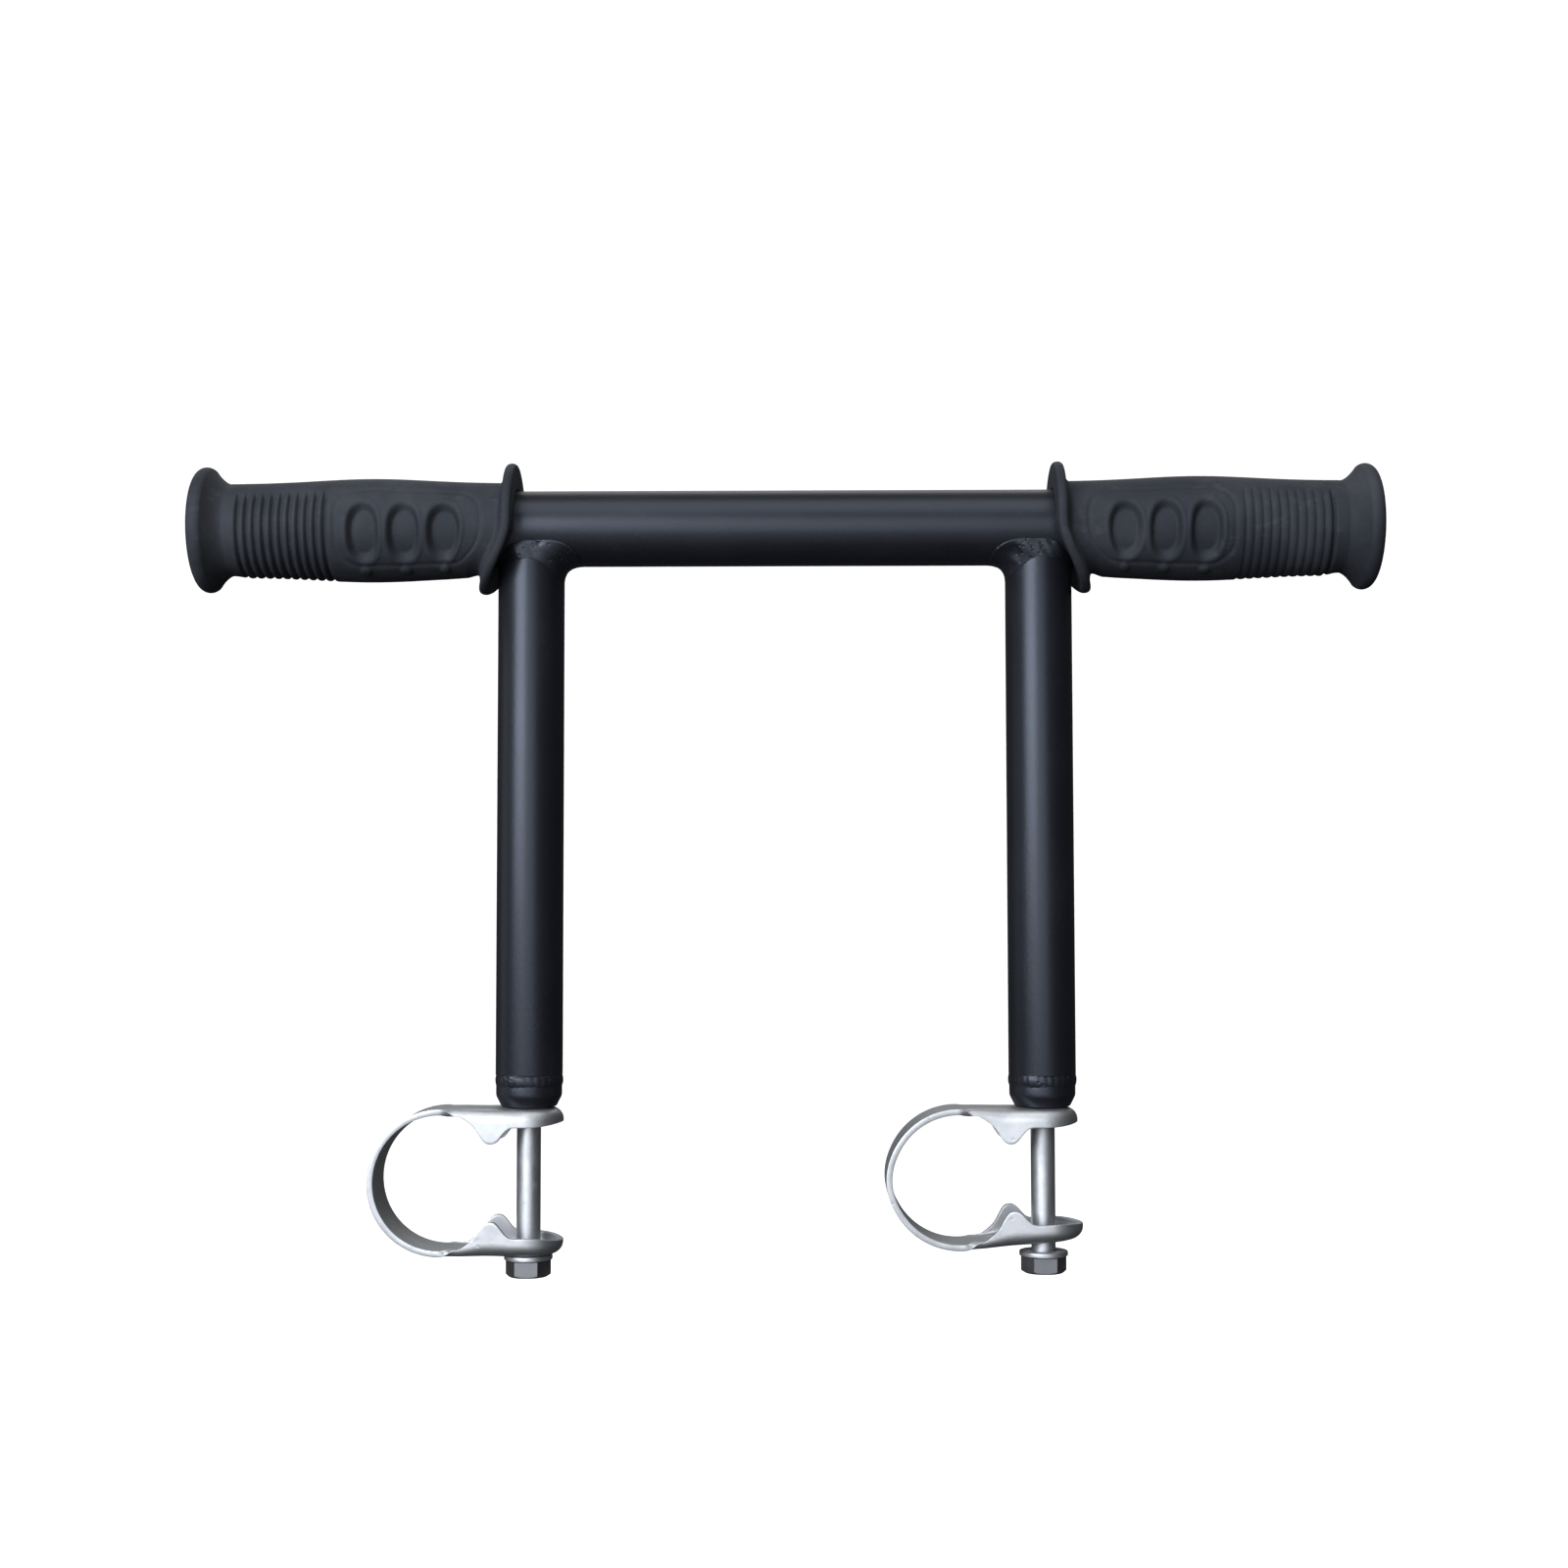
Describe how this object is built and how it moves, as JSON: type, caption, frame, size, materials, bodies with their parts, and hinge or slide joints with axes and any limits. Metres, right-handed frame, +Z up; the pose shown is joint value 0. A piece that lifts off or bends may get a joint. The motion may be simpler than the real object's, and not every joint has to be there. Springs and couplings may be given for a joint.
{
  "type": "clamp-on hand bar",
  "caption": "Short steel hand bar with a rubber grip at each end, on two legs that end in strip clamps for round rails.",
  "frame": {"origin": "midway between the two legs, at the height of the clamp rings' centres", "axes": "+X along the cross tube to the right, +Y along the clamp rings away from the viewer, +Z up from the clamps to the cross tube"},
  "size_m": [0.395, 0.044, 0.2705],
  "materials": {
    "frame_paint": "satin black paint over steel tube",
    "grip_rubber": "matte moulded black rubber",
    "zinc_strip": "bright zinc-plated pressed strip",
    "zinc_fastener": "zinc-plated fasteners"
  },
  "bodies": {
    "frame": {"cross_tube": "frame_paint", "left_leg_tube": "frame_paint", "left_leg_weld": "frame_paint", "left_foot_plug": "frame_paint", "left_foot_weld": "frame_paint", "left_leg_nut": "zinc_fastener", "left_grip": "grip_rubber", "right_leg_tube": "frame_paint", "right_leg_weld": "frame_paint", "right_foot_plug": "frame_paint", "right_foot_weld": "frame_paint", "right_leg_nut": "zinc_fastener", "right_grip": "grip_rubber"},
    "left_upper_jaw": {"left_clamp_upper": "zinc_strip"},
    "left_lower_jaw": {"left_clamp_lower": "zinc_strip"},
    "left_washer": {"left_washer": "zinc_fastener"},
    "left_bolt": {"left_bolt": "zinc_fastener"},
    "right_upper_jaw": {"right_clamp_upper": "zinc_strip"},
    "right_lower_jaw": {"right_clamp_lower": "zinc_strip"},
    "right_washer": {"right_washer": "zinc_fastener"},
    "right_bolt": {"right_bolt": "zinc_fastener"}
  },
  "joints": [
    {"name": "left_clamp_swivel", "type": "hinge", "parent": "frame", "child": "left_upper_jaw", "pos_m": [-0.085, 0, 0], "axis": [0, 0, 1], "continuous": true},
    {"name": "left_clamp_flex", "type": "hinge", "parent": "left_upper_jaw", "child": "left_lower_jaw", "pos_m": [-0.136, 0, 0], "axis": [0, -1, 0], "range_deg": [0, 6.7]},
    {"name": "left_bolt_travel", "type": "slide", "parent": "frame", "child": "left_washer", "axis": [0, 0, 1], "range_m": [0, 0.005]},
    {"name": "left_bolt_turn", "type": "hinge", "parent": "left_washer", "child": "left_bolt", "pos_m": [-0.085, 0, -0.03], "axis": [0, 0, 1], "range_deg": [0, 1440]},
    {"name": "right_clamp_swivel", "type": "hinge", "parent": "frame", "child": "right_upper_jaw", "pos_m": [0.085, 0, 0], "axis": [0, 0, 1], "continuous": true},
    {"name": "right_clamp_flex", "type": "hinge", "parent": "right_upper_jaw", "child": "right_lower_jaw", "pos_m": [0.034, 0, 0], "axis": [0, -1, 0], "range_deg": [0, 3], "stiffness_Nm_per_rad": 30},
    {"name": "right_bolt_travel", "type": "slide", "parent": "frame", "child": "right_washer", "axis": [0, 0, 1], "range_m": [-0.00625, 0.0025]},
    {"name": "right_bolt_turn", "type": "hinge", "parent": "right_washer", "child": "right_bolt", "pos_m": [0.085, 0, -0.03], "axis": [0, 0, 1], "range_deg": [-1800, 720]}
  ],
  "couplings": [
    {"joint": "left_bolt_turn", "follows": "left_bolt_travel", "rad_per_m": 5026.5},
    {"joint": "left_clamp_flex", "follows": "left_bolt_travel", "rad_per_m": 23.25},
    {"joint": "right_bolt_turn", "follows": "right_bolt_travel", "rad_per_m": 5026.5}
  ]
}
